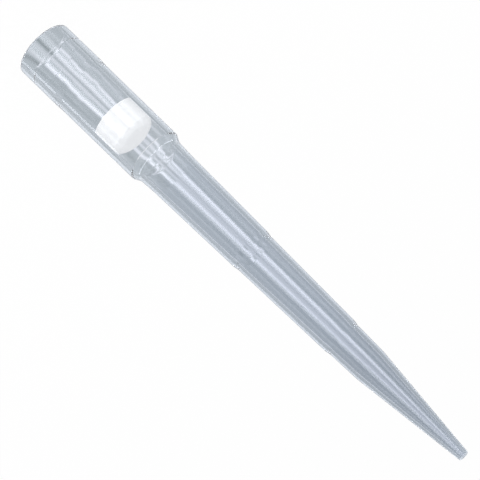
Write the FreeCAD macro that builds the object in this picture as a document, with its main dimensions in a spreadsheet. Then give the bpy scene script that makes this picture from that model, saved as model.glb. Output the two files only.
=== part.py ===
"""A clear filter pipette tip, as a parametric FreeCAD document.

Two pieces: the moulded tip body, a thin-walled tube that narrows in steps from its
collar to a fine orifice, and the porous filter plug pressed into the collar's bore.

Frame, in millimetres: the origin is the centre of the mouth rim, and +Z runs along the
axis towards the orifice, so the tip stands on its mouth with its narrow end up.
"""

import FreeCAD, Part
import os
import Sketcher

FULL_TURN = 360
HOW_CLOSE = 0.001

SIZES = {
    # Lengths along the bore, from the mouth inwards.
    "lead_in_depth": 3.0,
    "land_length": 6.0,
    "guide_length": 6.2,
    "filter_bore_length": 8.9,
    "throat_length": 1.2,
    # Lengths along the outside.
    "grip_band_length": 7.7,
    "grip_band_fall": 1.3,
    "floor_thickness": 0.3,
    "shoulder_length": 1.15,
    "flare_length": 2.85,
    "upper_body_length": 16.5,
    "upper_ring_fall": 0.8,
    "middle_body_length": 17.5,
    "lower_ring_fall": 0.9,
    "lower_body_length": 5.35,
    "nose_length": 18.55,
    # Radii of the bore.
    "land_radius": 3.8,
    "lead_in_step": 0.16,
    "filter_bore_radius": 3.65,
    "throat_radius": 3.06,
    "upper_bore_radius": 2.59,
    "middle_bore_radius": 2.15,
    "nose_bore_radius": 1.95,
    "orifice_radius": 0.42,
    # Walls, from the bore out to the outside.
    "rim_wall": 0.7,
    "collar_wall": 0.86,
    "root_wall": 0.87,
    "neck_wall": 0.73,
    "upper_wall": 0.885,
    "middle_wall": 0.83,
    "nose_wall": 0.74,
    "orifice_wall": 0.38,
    # Small steps on the outside.
    "grip_band_step": 0.075,
    "upper_ring_step": 0.145,
    "lower_ring_step": 0.15,
    # Rounded edges.
    "rim_outer_round": 0.12,
    "rim_inner_round": 0.25,
    "shoulder_round": 0.3,
    "neck_round": 1.0,
    "orifice_round": 0.25,
    # The filter plug.
    "plug_length": 4.7,
    "plug_standoff": 3.5,
    "plug_clearance": 0.01,
    "plug_round": 0.15,
    "bevel_width": 1.9,
    "bevel_height": 0.4,
}

# Sums of sizes that more than one feature uses. A minus sign in front takes a size away.
RIM_RADIUS = ("land_radius", "lead_in_step", "rim_wall")
BORE_STOP = ("lead_in_depth", "land_length", "guide_length", "filter_bore_length")
COLLAR_LENGTH = BORE_STOP + ("floor_thickness",)


def minus(terms):
    """The same sum with every sign turned."""
    return tuple(term[1:] if term.startswith("-") else "-" + term for term in terms)


def amount(terms):
    """What a sum of sizes comes to, in millimetres."""
    return sum(-SIZES[term[1:]] if term.startswith("-") else SIZES[term] for term in terms)


def formula(terms):
    """The same sum as an expression on the sheet."""
    words = [("- Sizes." + term[1:]) if term.startswith("-") else ("+ Sizes." + term) for term in terms]
    return " ".join(words).lstrip("+ ")


def make_sheet(document):
    """The spreadsheet of driving sizes: a name, and a number with that name as its alias."""
    sheet = document.addObject("Spreadsheet::Sheet", "Sizes")
    for row, (name, value) in enumerate(SIZES.items(), start=1):
        sheet.set(f"A{row}", name)
        sheet.set(f"B{row}", str(value))
        sheet.setAlias(f"B{row}", name)
    document.recompute()
    return sheet


def origin_plane(body, role):
    """One of a body's own origin planes."""
    return next(item for item in body.Origin.OriginFeatures if item.Role == role)


def new_sketch(body, name, role):
    """An empty sketch on one of the body's origin planes."""
    sketch = body.newObject("Sketcher::SketchObject", name)
    sketch.AttachmentSupport = (origin_plane(body, role), [""])
    sketch.MapMode = "FlatFace"
    return sketch


def bind(sketch, kind, places, terms, name):
    """Adds a dimension to a sketch and binds it to a sum of sizes."""
    number = sketch.addConstraint(Sketcher.Constraint(kind, *places, amount(terms)))
    sketch.renameConstraint(number, name)
    sketch.setExpression("Constraints." + name, formula(terms))


def draw_half_section(body, name, stations):
    """A closed half section for a turned shape, in the XZ plane.

    stations runs along the section's outer side: each has the radius there, and the rise
    from the station before. The section closes along the axis.
    """
    sketch = new_sketch(body, name, "XZ_Plane")
    corners = [FreeCAD.Vector(0, 0, 0)]
    height = 0.0
    for radius, rise in stations:
        height += amount(rise)
        corners.append(FreeCAD.Vector(amount(radius), height, 0))
    corners.append(FreeCAD.Vector(0, height, 0))

    count = len(corners)
    for place in range(count):
        sketch.addGeometry(Part.LineSegment(corners[place], corners[(place + 1) % count]))
    for place in range(count):
        sketch.addConstraint(Sketcher.Constraint("Coincident", place, 2, (place + 1) % count, 1))
    sketch.addConstraint(Sketcher.Constraint("Coincident", 0, 1, -1, 1))
    sketch.addConstraint(Sketcher.Constraint("Horizontal", 0))
    sketch.addConstraint(Sketcher.Constraint("Horizontal", count - 2))
    sketch.addConstraint(Sketcher.Constraint("Vertical", count - 1))

    for place, (radius, rise) in enumerate(stations, start=1):
        bind(sketch, "DistanceX", (-1, 1, place, 1), radius, f"radius{place}")
        if rise:
            bind(sketch, "DistanceY", (place - 1, 1, place, 1), rise, f"rise{place}")
    return sketch


def turn(body, kind, name, sketch):
    """Turns a half section about the body's axis, as a Revolution or a Groove."""
    feature = body.newObject("PartDesign::" + kind, name)
    feature.Profile = sketch
    feature.ReferenceAxis = (sketch, ["V_Axis"])
    feature.Angle = FULL_TURN
    body.Document.recompute()
    return feature


def circular_edge(body, name, height, radius):
    """The body's last feature, and its one circular edge at this height with this radius."""
    base = body.Tip
    found = []
    for number, edge in enumerate(base.Shape.Edges, start=1):
        curve = edge.Curve
        if not isinstance(curve, Part.Circle):
            continue
        at_height = abs(curve.Center.z - amount(height)) < HOW_CLOSE
        if at_height and abs(curve.Radius - amount(radius)) < HOW_CLOSE:
            found.append(f"Edge{number}")
    if len(found) != 1:
        raise RuntimeError(f"{name}: {len(found)} edges found where one was meant")
    return (base, found)


def round_edge(body, name, height, radius, size):
    """Rounds the one circular edge that lies at this height with this radius."""
    edge = circular_edge(body, name, height, radius)
    fillet = body.newObject("PartDesign::Fillet", name)
    fillet.Base = edge
    fillet.setExpression("Radius", formula(size))
    body.Document.recompute()
    return fillet


def bevel_edge(body, name, height, radius, size_along, size_across):
    """Bevels the one circular edge that lies at this height with this radius."""
    edge = circular_edge(body, name, height, radius)
    bevel = body.newObject("PartDesign::Chamfer", name)
    bevel.Base = edge
    bevel.ChamferType = "Two distances"
    bevel.setExpression("Size", formula(size_along))
    bevel.setExpression("Size2", formula(size_across))
    body.Document.recompute()
    return bevel


def make_tip_body(document):
    """The moulded body: the outside turned as one solid, and the bore turned out of it."""
    body = document.addObject("PartDesign::Body", "TipBody")
    body.Label = "tip_body"

    below_band = minus(("grip_band_length", "grip_band_fall"))
    end_radius = ("orifice_radius", "orifice_wall")
    upper_radius = ("upper_bore_radius", "upper_wall")
    lower_radius = ("middle_bore_radius", "middle_wall")
    collar_radius = ("filter_bore_radius", "collar_wall")
    neck_radius = ("throat_radius", "root_wall")
    outside = (
        (RIM_RADIUS, ()),
        (RIM_RADIUS, ("grip_band_length",)),
        (RIM_RADIUS + ("-grip_band_step",), ("grip_band_fall",)),
        (collar_radius, COLLAR_LENGTH + below_band),
        (neck_radius, ("shoulder_length",)),
        (("throat_radius", "neck_wall"), ("flare_length",)),
        (upper_radius, ("upper_body_length",)),
        (upper_radius + ("-upper_ring_step",), ("upper_ring_fall",)),
        (lower_radius, ("middle_body_length",)),
        (lower_radius + ("-lower_ring_step",), ("lower_ring_fall",)),
        (("nose_bore_radius", "nose_wall"), ("lower_body_length",)),
        (end_radius, ("nose_length",)),
    )
    turn(body, "Revolution", "Outside", draw_half_section(body, "OutsideSection", outside))

    lead_in_radius = ("land_radius", "lead_in_step")
    throat_to_ring = (
        "floor_thickness",
        "shoulder_length",
        "flare_length",
        "upper_body_length",
        "-throat_length",
    )
    bore = (
        (lead_in_radius, ()),
        (lead_in_radius, ("lead_in_depth", "-lead_in_step")),
        (("land_radius",), ("lead_in_step",)),
        (("land_radius",), ("land_length",)),
        (("filter_bore_radius",), ("guide_length",)),
        (("filter_bore_radius",), ("filter_bore_length",)),
        (("throat_radius",), ("throat_length",)),
        (("upper_bore_radius",), throat_to_ring),
        (("middle_bore_radius",), ("upper_ring_fall", "middle_body_length")),
        (("nose_bore_radius",), ("lower_ring_fall", "lower_body_length")),
        (("orifice_radius",), ("nose_length",)),
    )
    turn(body, "Groove", "Bore", draw_half_section(body, "BoreSection", bore))

    whole_length = COLLAR_LENGTH + (
        "shoulder_length",
        "flare_length",
        "upper_body_length",
        "upper_ring_fall",
        "middle_body_length",
        "lower_ring_fall",
        "lower_body_length",
        "nose_length",
    )
    round_edge(body, "RimOuterRound", (), RIM_RADIUS, ("rim_outer_round",))
    round_edge(body, "RimInnerRound", (), lead_in_radius, ("rim_inner_round",))
    round_edge(body, "ShoulderRound", COLLAR_LENGTH, collar_radius, ("shoulder_round",))
    round_edge(body, "NeckRound", COLLAR_LENGTH + ("shoulder_length",), neck_radius, ("neck_round",))
    round_edge(body, "OrificeRound", whole_length, end_radius, ("orifice_round",))
    return body


def make_filter_plug(document):
    """The sintered plug: a short cylinder with a crowned end, held in the filter bore."""
    body = document.addObject("PartDesign::Body", "FilterPlug")
    body.Label = "filter_plug"

    radius = ("filter_bore_radius", "-plug_clearance")
    first_face = BORE_STOP + ("-plug_standoff", "-plug_length")
    sketch = new_sketch(body, "PlugCircle", "XY_Plane")
    sketch.setExpression("AttachmentOffset.Base.z", formula(first_face))
    circle = Part.Circle(FreeCAD.Vector(0, 0, 0), FreeCAD.Vector(0, 0, 1), amount(radius))
    sketch.addGeometry(circle)
    sketch.addConstraint(Sketcher.Constraint("Coincident", 0, 3, -1, 1))
    bind(sketch, "Radius", (0,), radius, "plug_radius")

    plug = body.newObject("PartDesign::Pad", "Plug")
    plug.Profile = sketch
    plug.setExpression("Length", formula(("plug_length",)))
    document.recompute()
    round_edge(body, "MouthSideRound", first_face, radius, ("plug_round",))
    last_face = first_face + ("plug_length",)
    bevel_edge(body, "TipSideBevel", last_face, radius, ("bevel_height",), ("bevel_width",))
    return body


def check(document, bodies):
    """Stops if any object failed to compute, or a piece isn't one valid solid."""
    for item in document.Objects:
        if "Invalid" in item.State or "Error" in item.State:
            raise RuntimeError(f"{item.Label} failed: {item.State}")
    for body in bodies:
        shape = body.Shape
        if shape.isNull() or not shape.isValid() or len(shape.Solids) != 1:
            raise RuntimeError(f"{body.Label} isn't one valid solid")


def main():
    document = FreeCAD.newDocument("FilterPipetteTip")
    make_sheet(document)
    bodies = (make_tip_body(document), make_filter_plug(document))
    for body in bodies:
        body.Placement = FreeCAD.Placement()
    document.recompute()
    check(document, bodies)

    os.makedirs("parts", exist_ok=True)
    for body in bodies:
        body.Shape.exportStep(f"parts/{body.Label}.step")
        box = body.Shape.optimalBoundingBox(False)
        print(
            f"{body.Label}: {body.Shape.Volume:.1f} mm3, "
            f"{box.XLength:.2f} x {box.YLength:.2f} x {box.ZLength:.2f} mm, z from {box.ZMin:.2f}"
        )


main()
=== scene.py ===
"""The filter pipette tip, dressed: a clear moulded body, and the porous plug in its collar.

The tip stands on its mouth, with +Z running up its axis to the orifice. Sections are given in
millimetres and headings in degrees; everything in the scene is in metres.
"""

import math

import bmesh
import bpy
from mathutils import Matrix, Vector


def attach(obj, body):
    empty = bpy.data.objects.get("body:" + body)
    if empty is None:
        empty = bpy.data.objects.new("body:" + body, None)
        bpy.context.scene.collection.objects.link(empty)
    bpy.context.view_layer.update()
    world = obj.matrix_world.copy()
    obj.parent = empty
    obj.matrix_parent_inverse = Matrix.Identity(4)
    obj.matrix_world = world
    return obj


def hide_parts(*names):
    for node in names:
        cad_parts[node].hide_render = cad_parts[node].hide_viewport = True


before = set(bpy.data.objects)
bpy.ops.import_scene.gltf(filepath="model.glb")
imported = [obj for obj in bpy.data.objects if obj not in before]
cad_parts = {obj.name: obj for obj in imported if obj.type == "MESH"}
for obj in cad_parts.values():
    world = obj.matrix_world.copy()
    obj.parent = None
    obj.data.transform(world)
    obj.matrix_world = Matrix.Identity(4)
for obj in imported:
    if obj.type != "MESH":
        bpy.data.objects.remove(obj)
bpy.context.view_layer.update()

MM = 0.001
TURNS = 256
ARC_STEPS = 12
TIP_LENGTH = 88.0

# Half sections, as (radius, height, rounding). The body's goes up the outside and down the bore.
BODY_SECTION = (
    (4.66, 0.0, 0.22),
    (4.66, 7.7, 0.0),
    (4.585, 9.0, 0.0),
    (4.51, 24.4, 0.0),
    (3.93, 25.55, 1.0),
    (3.79, 28.4, 0.0),
    (3.475, 44.9, 0.0),
    (3.33, 45.7, 0.0),
    (2.98, 63.2, 0.0),
    (2.83, 64.1, 0.0),
    (2.69, 69.45, 0.0),
    (0.8, 88.0, 0.25),
    (0.42, 88.0, 0.0),
    (1.95, 69.45, 0.0),
    (2.15, 63.2, 0.0),
    (2.59, 44.9, 0.0),
    (3.06, 25.3, 2.6),
    (3.65, 24.1, 0.0),
    (3.65, 15.2, 0.0),
    (3.8, 9.0, 0.0),
    (3.8, 3.0, 0.0),
    (3.96, 2.84, 0.0),
    (3.96, 0.0, 0.4),
)
PLUG_SECTION = (
    (0.001, 15.9, 0.0),
    (3.63, 15.9, 0.15),
    (3.63, 20.05, 0.2),
    (2.5, 20.6, 1.5),
    (0.001, 20.6, 0.0),
)


def rounded(section):
    """A section's outline as (radius, height, crease), with its rounded corners drawn as arcs."""
    outline = []
    count = len(section)
    for place, (radius, height, rounding) in enumerate(section):
        corner = Vector((radius, height))
        if not rounding:
            outline.append((radius, height, True))
            continue
        before = Vector(section[place - 1][:2]) - corner
        after = Vector(section[(place + 1) % count][:2]) - corner
        half = before.angle(after) / 2
        reach = min(rounding / math.tan(half), 0.45 * before.length, 0.45 * after.length)
        rounding = reach * math.tan(half)
        centre = corner + (before.normalized() + after.normalized()).normalized() * rounding / math.sin(half)
        start = corner + before.normalized() * reach - centre
        sweep = start.angle_signed(corner + after.normalized() * reach - centre)
        for step in range(ARC_STEPS + 1):
            spot = centre + Matrix.Rotation(-sweep * step / ARC_STEPS, 2) @ start
            outline.append((spot.x, spot.y, step in (0, ARC_STEPS)))
    return outline


def lathe(name, section, material):
    """A closed solid turned about Z from a half section, with smooth faces between its creases."""
    outline = rounded(section)
    mesh = bpy.data.meshes.new(name)
    shape = bmesh.new()
    rings = []
    for radius, height, _ in outline:
        ring = []
        for turn in range(TURNS):
            angle = 2 * math.pi * turn / TURNS
            place = (radius * MM * math.cos(angle), radius * MM * math.sin(angle), height * MM)
            ring.append(shape.verts.new(place))
        rings.append(ring)
    for number, ring in enumerate(rings):
        above = rings[(number + 1) % len(rings)]
        for turn in range(TURNS):
            beside = (turn + 1) % TURNS
            face = shape.faces.new((ring[turn], ring[beside], above[beside], above[turn]))
            face.smooth = True
        if outline[number][2]:
            for turn in range(TURNS):
                shape.edges.get((ring[turn], ring[(turn + 1) % TURNS])).smooth = False
    bmesh.ops.recalc_face_normals(shape, faces=shape.faces)
    shape.to_mesh(mesh)
    shape.free()
    mesh.materials.append(material)
    piece = bpy.data.objects.new(name, mesh)
    bpy.context.scene.collection.objects.link(piece)
    return piece


def add(tree, kind, **settings):
    """A new node, with its settings and its sockets' values filled in by name."""
    node = tree.nodes.new(kind)
    for key, value in settings.items():
        if hasattr(node, key):
            setattr(node, key, value)
        else:
            node.inputs[key.replace("_", " ")].default_value = value
    return node


def join(tree, *pairs):
    """Links outputs to inputs, given as pairs."""
    for source, target in pairs:
        tree.links.new(source, target)


def sums(tree, operation, *values):
    """One sum of values, each a socket or a number."""
    node = tree.nodes.new("ShaderNodeMath")
    node.operation = operation
    for value, socket in zip(values, node.inputs):
        if isinstance(value, (int, float)):
            socket.default_value = value
        else:
            tree.links.new(value, socket)
    return node.outputs[0]


def blend(tree, share, first, second):
    """A colour between two colours, each a socket or a triple."""
    node = tree.nodes.new("ShaderNodeMix")
    node.data_type = "RGBA"
    tree.links.new(share, node.inputs["Factor"])
    for value, number in ((first, 6), (second, 7)):
        if isinstance(value, tuple):
            node.inputs[number].default_value = (*value, 1)
        else:
            tree.links.new(value, node.inputs[number])
    return node.outputs[2]


def ramp(tree, value, stops):
    """A colour ramp over a value from 0 to 1; stops are (place, colour)."""
    node = tree.nodes.new("ShaderNodeValToRGB")
    tree.links.new(value, node.inputs[0])
    while len(node.color_ramp.elements) < len(stops):
        node.color_ramp.elements.new(0.5)
    for element, (place, colour) in zip(node.color_ramp.elements, stops):
        element.position = place
        element.color = (*colour, 1)
    return node.outputs[0]


def graded(tree, value, levels, reach):
    """A level for a value from -reach to reach, in two ramps that meet at 0; levels are (value, level)."""
    size = sums(tree, "DIVIDE", sums(tree, "ABSOLUTE", value), reach)
    halves = []
    for side in (-1, 1):
        stops = sorted((place * side / reach, (level,) * 3) for place, level in levels if place * side >= 0)
        halves.append(ramp(tree, size, stops))
    return blend(tree, sums(tree, "GREATER_THAN", value, 0), *halves)


def grey_ramp(tree, value, levels):
    """A level for a value from 0 to 1; levels are (place, level)."""
    return ramp(tree, value, [(place, (level,) * 3) for place, level in levels])


def mapped(tree, value, start, end, shape="LINEAR"):
    """A share that goes from 0 to 1 as a value goes from start to end."""
    node = add(tree, "ShaderNodeMapRange", interpolation_type=shape)
    node.inputs["From Min"].default_value = start
    node.inputs["From Max"].default_value = end
    tree.links.new(value, node.inputs["Value"])
    return node.outputs[0]


def tinted(tree, level, tint):
    """A level times a colour, which is a socket or a triple."""
    node = add(tree, "ShaderNodeVectorMath", operation="MULTIPLY")
    tree.links.new(level, node.inputs[0])
    if isinstance(tint, tuple):
        node.inputs[1].default_value = tint
    else:
        tree.links.new(tint, node.inputs[1])
    return node.outputs[0]


def new_material(name):
    """An empty material, with its node tree."""
    material = bpy.data.materials.new(name)
    material.use_nodes = True
    material.node_tree.nodes.clear()
    return material, material.node_tree


# The moulding's colour, darkened up the body as painted shade, its flow lines' strength and its haze, by
# height up the tip from 0 to 1.
CAST_AND_BODY_SHADE = (
    (0.0, (0.96, 0.967, 0.978)),
    (0.28, (0.96, 0.967, 0.978)),
    (0.34, (0.90, 0.915, 0.945)),
    (0.68, (0.84, 0.86, 0.90)),
    (0.78, (0.80, 0.82, 0.86)),
    (0.90, (0.80, 0.82, 0.86)),
    (1.0, (0.85, 0.87, 0.91)),
)
FLOW_LINES = ((0.0, 1.0), (0.28, 1.0), (0.34, 0.5), (0.75, 0.15), (1.0, 0.05))
HAZE = ((0.0, 0.015), (0.28, 0.015), (0.34, 0.045), (0.75, 0.05), (1.0, 0.09))
FLOW_LINE_DEPTH = 0.00008
FLOW_LINE_STRETCH = (1, 1, 0.04)
PASSED_LIGHT = (0.96, 0.965, 0.97)


def clear_plastic():
    """Clear polypropylene: a cool cast, darkened up the body as painted shade, with faint cloudiness and flow
    lines.
    """
    material, tree = new_material("clear_polypropylene")
    out = add(tree, "ShaderNodeOutputMaterial")
    body = add(tree, "ShaderNodeBsdfPrincipled", IOR=1.49, Transmission_Weight=0.99)
    where = add(tree, "ShaderNodeTexCoord")
    split = add(tree, "ShaderNodeSeparateXYZ")
    join(tree, (where.outputs["Object"], split.inputs[0]))
    height = sums(tree, "DIVIDE", split.outputs["Z"], TIP_LENGTH * MM)

    cloud = add(tree, "ShaderNodeTexNoise", Scale=450.0, Detail=3.0)
    join(tree, (where.outputs["Object"], cloud.inputs["Vector"]))
    thin = sums(tree, "MULTIPLY_ADD", cloud.outputs["Fac"], 0.03, 0.985)
    # Painted shade: the base colour darkens from the collar up the body.
    cast = add(tree, "ShaderNodeVectorMath", operation="SCALE")
    join(tree, (ramp(tree, height, CAST_AND_BODY_SHADE), cast.inputs[0]), (thin, cast.inputs["Scale"]))
    haze = sums(tree, "MULTIPLY", grey_ramp(tree, height, HAZE), sums(tree, "ADD", cloud.outputs["Fac"], 0.5))
    join(tree, (cast.outputs[0], body.inputs["Base Color"]), (haze, body.inputs["Roughness"]))

    stretch = add(tree, "ShaderNodeVectorMath", operation="MULTIPLY")
    stretch.inputs[1].default_value = FLOW_LINE_STRETCH
    lines = add(tree, "ShaderNodeTexNoise", Scale=1800.0, Detail=2.0)
    relief = add(tree, "ShaderNodeBump", Distance=FLOW_LINE_DEPTH * MM)
    join(
        tree,
        (where.outputs["Object"], stretch.inputs[0]),
        (stretch.outputs[0], lines.inputs["Vector"]),
        (lines.outputs["Fac"], relief.inputs["Height"]),
        (grey_ramp(tree, height, FLOW_LINES), relief.inputs["Strength"]),
        (relief.outputs[0], body.inputs["Normal"]),
    )

    # Light and shadow pass straight through, so that the plug inside the collar is lit.
    clear = add(tree, "ShaderNodeBsdfTransparent", Color=(*PASSED_LIGHT, 1))
    path = add(tree, "ShaderNodeLightPath")
    either = sums(tree, "MAXIMUM", path.outputs["Is Shadow Ray"], path.outputs["Is Diffuse Ray"])
    mix = add(tree, "ShaderNodeMixShader")
    join(
        tree,
        (either, mix.inputs[0]),
        (body.outputs[0], mix.inputs[1]),
        (clear.outputs[0], mix.inputs[2]),
        (mix.outputs[0], out.inputs["Surface"]),
    )
    return material


GRAIN_DEPTH = 0.03


def porous_plastic():
    """Sintered polyethylene: matt white, with a fine pressed grain."""
    material, tree = new_material("porous_polyethylene")
    out = add(tree, "ShaderNodeOutputMaterial")
    body = add(tree, "ShaderNodeBsdfPrincipled")
    where = add(tree, "ShaderNodeTexCoord")
    grain = add(tree, "ShaderNodeTexVoronoi", Scale=4500.0)
    cloud = add(tree, "ShaderNodeTexNoise", Scale=1400.0, Detail=4.0)
    for texture in (grain, cloud):
        join(tree, (where.outputs["Object"], texture.inputs["Vector"]))
    grains = sums(tree, "SUBTRACT", 1.2, grain.outputs["Distance"])
    mottle = sums(tree, "MULTIPLY", cloud.outputs["Fac"], grains)
    white = ramp(tree, mottle, ((0.2, (0.90, 0.905, 0.915)), (0.55, (0.975, 0.975, 0.98))))
    rough = sums(tree, "ADD", sums(tree, "MULTIPLY", cloud.outputs["Fac"], 0.2), 0.7)
    relief = add(tree, "ShaderNodeBump", Strength=0.5, Distance=GRAIN_DEPTH * MM)
    join(
        tree,
        (white, body.inputs["Base Color"]),
        (rough, body.inputs["Roughness"]),
        (mottle, relief.inputs["Height"]),
        (relief.outputs[0], body.inputs["Normal"]),
        (body.outputs[0], out.inputs["Surface"]),
    )
    return material


def put(piece, node):
    """Hands a piece over to the frame in place of its node."""
    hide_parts(node)
    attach(piece, "root")


put(lathe("moulded_body", BODY_SECTION, clear_plastic()), "tip_body")
put(lathe("sintered_plug", PLUG_SECTION, porous_plastic()), "filter_plug")

# What shows through the plastic: pale and dark cards in a grey surround behind the tip, in one row
# for level lines of sight and another for steep ones. A card is (heading, half width, level). The
# rows repeat every 60 degrees, so the tip looks much the same all round.
DEEP_TINT, PALE_TINT = (0.82, 0.93, 1.0), (0.885, 0.922, 1.0)
CARD_REACH = 30.0
SURROUND = 0.5
CARDS_LOW = ((-16, 6, 0.6), (-0.5, 4, 0.7), (-3.5, 2, 0.95), (2, 2, 0.9))
CARDS_HIGH = (
    (-12, 4, 0.7),
    (-4, 1.5, 0.95),
    (-1.5, 1.5, 0.8),
    (0.5, 1, 0.8),
    (3, 1.5, 0.95),
    (9, 4, 0.4),
    (22, 6, 0.65),
)
CARDS_MEET = (20.8, 21.0)

# What the gloss mirrors: strip lights all round, as (heading, level). Above STRIPS_TOP there is only
# a plain ceiling. The collar also mirrors a narrow low strip, and a gap in the strips just above it.
STRIPS = (
    (-180, 0.4), (-156, 0.9), (-138, 1.8), (-126, 1.3), (-114, 0.8), (-90, 0.7), (-72, 1.0), (-62, 3.0),
    (-52, 1.6), (-46, 0.4), (-38, 2.0), (-32, 4.8), (-20, 4.8), (-14, 3.0), (-9, 0.8), (-5, 0.0), (0, 1.2),
    (8, 1.2), (13, 2.0), (20, 5.0), (32, 5.0), (39, 2.0), (44, 0.5), (54, 0.6), (62, 2.6), (74, 1.0),
    (90, 1.2), (98, 0.9), (106, 0.7), (122, 0.9), (135, 2.3), (156, 1.0), (180, 0.4),
)
STRIPS_TOP, CEILING = 5.0, 1.6
LOW_STRIP, LOW_STRIP_HALF, LOW_STRIP_LEVEL = 98.0, 5.0, 3.2
STRIPS_GAP, STRIPS_GAP_HALF, STRIPS_GAP_END, GAP_LEVEL = -20.6, 0.7, 105.0, 0.7

# The soft box in front is a crescent. Its edges are (climb straight ahead, fall per heading squared).
SOFT_BOX = 5.0
SOFT_BOX_END = 116.0
SOFT_BOX_FOOT = (8.0, 0.001)
SOFT_BOX_HEAD = (23.0, 0.0013)

# The share of the surroundings' light that falls on matt surfaces.
DIFFUSE_SHARE = 0.85


def cooled(tree, level):
    """A card's colour: cool, and a little greener where it is dark than where it is pale."""
    return tinted(tree, level, ramp(tree, level, ((0.4, DEEP_TINT), (0.8, PALE_TINT))))


def row_of_cards(tree, place, cards):
    """The level at a place along a row of soft-edged cards, each (middle, half width, level)."""
    level = (SURROUND,) * 3
    for middle, half, card_level in cards:
        away = sums(tree, "ABSOLUTE", sums(tree, "SUBTRACT", place, middle))
        level = blend(tree, mapped(tree, away, half, 0.0, "SMOOTHSTEP"), level, (card_level,) * 3)
    return level


def heading_of(tree, split, ahead):
    """A direction's heading from +Y for ahead 1, or from -Y for ahead -1, in degrees."""
    turn = sums(tree, "ARCTAN2", split.outputs["X"], sums(tree, "MULTIPLY", split.outputs["Y"], ahead))
    return sums(tree, "DEGREES", turn)


def cards(tree, split):
    """What shows through the clear plastic: one row of cards, and another for steeper lines of sight."""
    heading = sums(tree, "WRAP", heading_of(tree, split, 1), CARD_REACH, -CARD_REACH)
    shallow_end, steep_end = (-math.sin(math.radians(drop)) for drop in CARDS_MEET)
    steep = mapped(tree, split.outputs["Z"], shallow_end, steep_end)
    return blend(tree, steep, row_of_cards(tree, heading, CARDS_LOW), row_of_cards(tree, heading, CARDS_HIGH))


def strips(tree, heading, climb, bend):
    """The strip lights and the ceiling; bend is the heading squared."""
    low = sums(tree, "LESS_THAN", climb, STRIPS_GAP - STRIPS_GAP_HALF)
    narrow = sums(tree, "COMPARE", heading, LOW_STRIP, LOW_STRIP_HALF)
    extra = sums(tree, "MULTIPLY", sums(tree, "MULTIPLY", low, narrow), LOW_STRIP_LEVEL)
    lit = sums(tree, "ADD", graded(tree, heading, STRIPS, 180), extra)
    ahead = sums(tree, "LESS_THAN", bend, STRIPS_GAP_END**2)
    gap = sums(tree, "MULTIPLY", sums(tree, "COMPARE", climb, STRIPS_GAP, STRIPS_GAP_HALF), ahead)
    lit = blend(tree, gap, lit, (GAP_LEVEL,) * 3)
    return blend(tree, sums(tree, "GREATER_THAN", climb, STRIPS_TOP), lit, (CEILING,) * 3)


def soft_box(tree, climb, bend):
    """The soft box in front of the tip; bend is the heading squared."""
    foot, head = (
        sums(tree, "GREATER_THAN", sums(tree, "ADD", climb, sums(tree, "MULTIPLY", bend, fall)), middle)
        for middle, fall in (SOFT_BOX_FOOT, SOFT_BOX_HEAD)
    )
    ahead = sums(tree, "LESS_THAN", bend, SOFT_BOX_END**2)
    return sums(tree, "MULTIPLY", sums(tree, "MULTIPLY", sums(tree, "SUBTRACT", foot, head), ahead), SOFT_BOX)


def mirrored_lights(tree, split):
    """What the gloss mirrors: the strip lights and the soft box."""
    heading = heading_of(tree, split, -1)
    climb = sums(tree, "DEGREES", sums(tree, "ARCSINE", split.outputs["Z"]))
    bend = sums(tree, "MULTIPLY", heading, heading)
    level = sums(tree, "ADD", strips(tree, heading, climb, bend), soft_box(tree, climb, bend))
    return tinted(tree, level, PALE_TINT)


def make_world():
    """A plain white backdrop, with the cards and strip lights for light that bends or bounces."""
    world = bpy.data.worlds.new("studio")
    bpy.context.scene.world = world
    world.use_nodes = True
    tree = world.node_tree
    tree.nodes.clear()
    out = add(tree, "ShaderNodeOutputWorld")
    back = add(tree, "ShaderNodeBackground")
    where = add(tree, "ShaderNodeTexCoord")
    split = add(tree, "ShaderNodeSeparateXYZ")
    path = add(tree, "ShaderNodeLightPath")
    join(tree, (where.outputs["Generated"], split.inputs[0]), (back.outputs[0], out.inputs["Surface"]))

    bounced = blend(tree, path.outputs["Is Glossy Ray"], (1, 1, 1), mirrored_lights(tree, split))
    bent = blend(tree, path.outputs["Is Transmission Ray"], bounced, cooled(tree, cards(tree, split)))
    dimming = sums(tree, "MULTIPLY", path.outputs["Is Diffuse Ray"], 1 - DIFFUSE_SHARE)
    dimmer = sums(tree, "SUBTRACT", 1.0, dimming)
    join(tree, (bent, back.inputs["Color"]), (dimmer, back.inputs["Strength"]))


def disc(name, radius, height, material):
    """A flat round sheet on the stage."""
    mesh = bpy.data.meshes.new(name)
    shape = bmesh.new()
    bmesh.ops.create_circle(shape, cap_ends=True, radius=radius, segments=64)
    shape.to_mesh(mesh)
    shape.free()
    mesh.materials.append(material)
    sheet = bpy.data.objects.new(name, mesh)
    sheet.location.z = height
    bpy.context.scene.collection.objects.link(sheet)
    return sheet


FLOOR_RADIUS = 3.0
FLOOR_GLOW = 0.9


def make_floor():
    """A white floor that keeps the tip's soft shadow."""
    material, tree = new_material("floor")
    out = add(tree, "ShaderNodeOutputMaterial")
    glow = add(tree, "ShaderNodeEmission")
    matt = add(tree, "ShaderNodeBsdfDiffuse", Color=(1, 1, 1, 1))
    mix = add(tree, "ShaderNodeMixShader")
    path = add(tree, "ShaderNodeLightPath")
    join(
        tree,
        (sums(tree, "MULTIPLY", path.outputs["Is Camera Ray"], FLOOR_GLOW), mix.inputs[0]),
        (matt.outputs[0], mix.inputs[1]),
        (glow.outputs[0], mix.inputs[2]),
        (mix.outputs[0], out.inputs["Surface"]),
    )
    sheet = disc("floor", FLOOR_RADIUS, 0.0, material)
    sheet.visible_transmission = False
    sheet.visible_glossy = False


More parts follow.
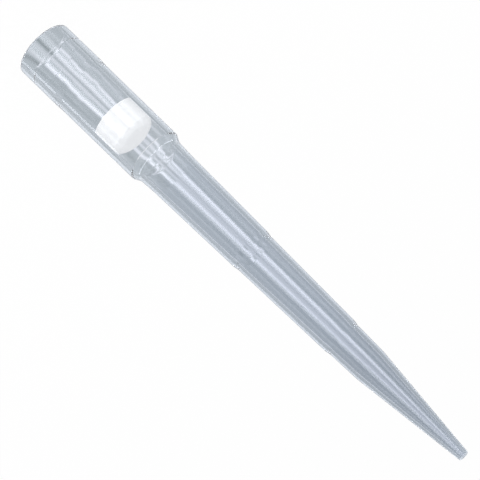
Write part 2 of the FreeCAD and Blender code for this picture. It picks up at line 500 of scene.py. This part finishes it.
# Painted shade under the mouth, in stripes: (millimetres across it, half width, level).
MOUTH_SHADE_RADIUS, MOUTH_SHADE_HEIGHT = 3.95, 0.02
MOUTH_SHADE_STRIPES = ((-1.6, 0.5, 0.6), (-0.4, 0.5, 0.35), (0.4, 0.5, 0.65), (1.6, 0.6, 0.7), (2.4, 0.5, 0.3))


def make_painted_mouth_shade():
    """Painted shade under the open mouth: a glowing striped sheet, seen only through the plastic, in place of
    the shaded floor inside the mouth.
    """
    material, tree = new_material("painted_mouth_shade")
    out = add(tree, "ShaderNodeOutputMaterial")
    glow = add(tree, "ShaderNodeEmission")
    where = add(tree, "ShaderNodeTexCoord")
    split = add(tree, "ShaderNodeSeparateXYZ")
    across = sums(tree, "DIVIDE", split.outputs["X"], MM)
    # Painted shade: the stripes glow at levels below white, standing in for the shaded floor inside the
    # mouth.
    join(
        tree,
        (where.outputs["Object"], split.inputs[0]),
        (cooled(tree, row_of_cards(tree, across, MOUTH_SHADE_STRIPES)), glow.inputs["Color"]),
        (glow.outputs[0], out.inputs["Surface"]),
    )
    sheet = disc("painted_mouth_shade", MOUTH_SHADE_RADIUS * MM, MOUTH_SHADE_HEIGHT * MM, material)
    sheet.visible_camera = False
    sheet.visible_diffuse = False
    sheet.visible_shadow = False


LAMP_PLACE = Vector((0.0, -0.93, 0.4))
LAMP_AIM = Vector((0, 0, 0.03))
LAMP_WIDTH = 0.5
LAMP_POWER = 3.3


def key_light():
    """One large soft lamp, high in front."""
    data = bpy.data.lights.new("key", "AREA")
    data.shape = "DISK"
    data.size = LAMP_WIDTH
    data.energy = LAMP_POWER
    lamp = bpy.data.objects.new("key", data)
    lamp.location = LAMP_PLACE
    lamp.rotation_euler = (LAMP_AIM - LAMP_PLACE).to_track_quat("-Z", "Y").to_euler()
    lamp.visible_glossy = False
    lamp.visible_transmission = False
    bpy.context.scene.collection.objects.link(lamp)


# The camera swings about the pivot, looks at the aim, and is moved a little to its own right.
PIVOT = Vector((0, 0, 0.03847))
AIM = Vector((0, 0, 0.04274))
CAMERA_DISTANCE = 0.39491
CAMERA_ELEVATION = 19.2
CAMERA_ROLL = 134.14
CAMERA_SIDE = 0.000109
LENS, SENSOR = 206.5, 36
CLIP_START, CLIP_END = 0.01, 20


def make_camera():
    """Seen from the tip's side, a little above level, and rolled so that the tip lies across the picture."""
    elevation = math.radians(CAMERA_ELEVATION)
    roll = math.radians(CAMERA_ROLL)
    place = PIVOT + CAMERA_DISTANCE * Vector((0, -math.cos(elevation), math.sin(elevation)))
    forward = (AIM - place).normalized()
    right = forward.cross(Vector((0, 0, 1))).normalized()
    up = right.cross(forward)
    across = right * math.cos(roll) + up * math.sin(roll)
    upward = -right * math.sin(roll) + up * math.cos(roll)
    data = bpy.data.cameras.new("camera")
    data.lens = LENS
    data.sensor_width = SENSOR
    data.clip_start = CLIP_START
    data.clip_end = CLIP_END
    camera = bpy.data.objects.new("camera", data)
    matrix = Matrix((across, upward, -forward)).transposed().to_4x4()
    matrix.translation = place + right * CAMERA_SIDE
    camera.matrix_world = matrix
    bpy.context.scene.collection.objects.link(camera)
    bpy.context.scene.camera = camera


make_world()
make_floor()
make_painted_mouth_shade()
key_light()
make_camera()

bpy.context.scene.view_settings.view_transform = "Standard"
BOUNCES = 64
CLEAR_BOUNCES = 32
cycles = bpy.context.scene.cycles
cycles.max_bounces = BOUNCES
cycles.transmission_bounces = BOUNCES
cycles.glossy_bounces = BOUNCES
cycles.transparent_max_bounces = CLEAR_BOUNCES
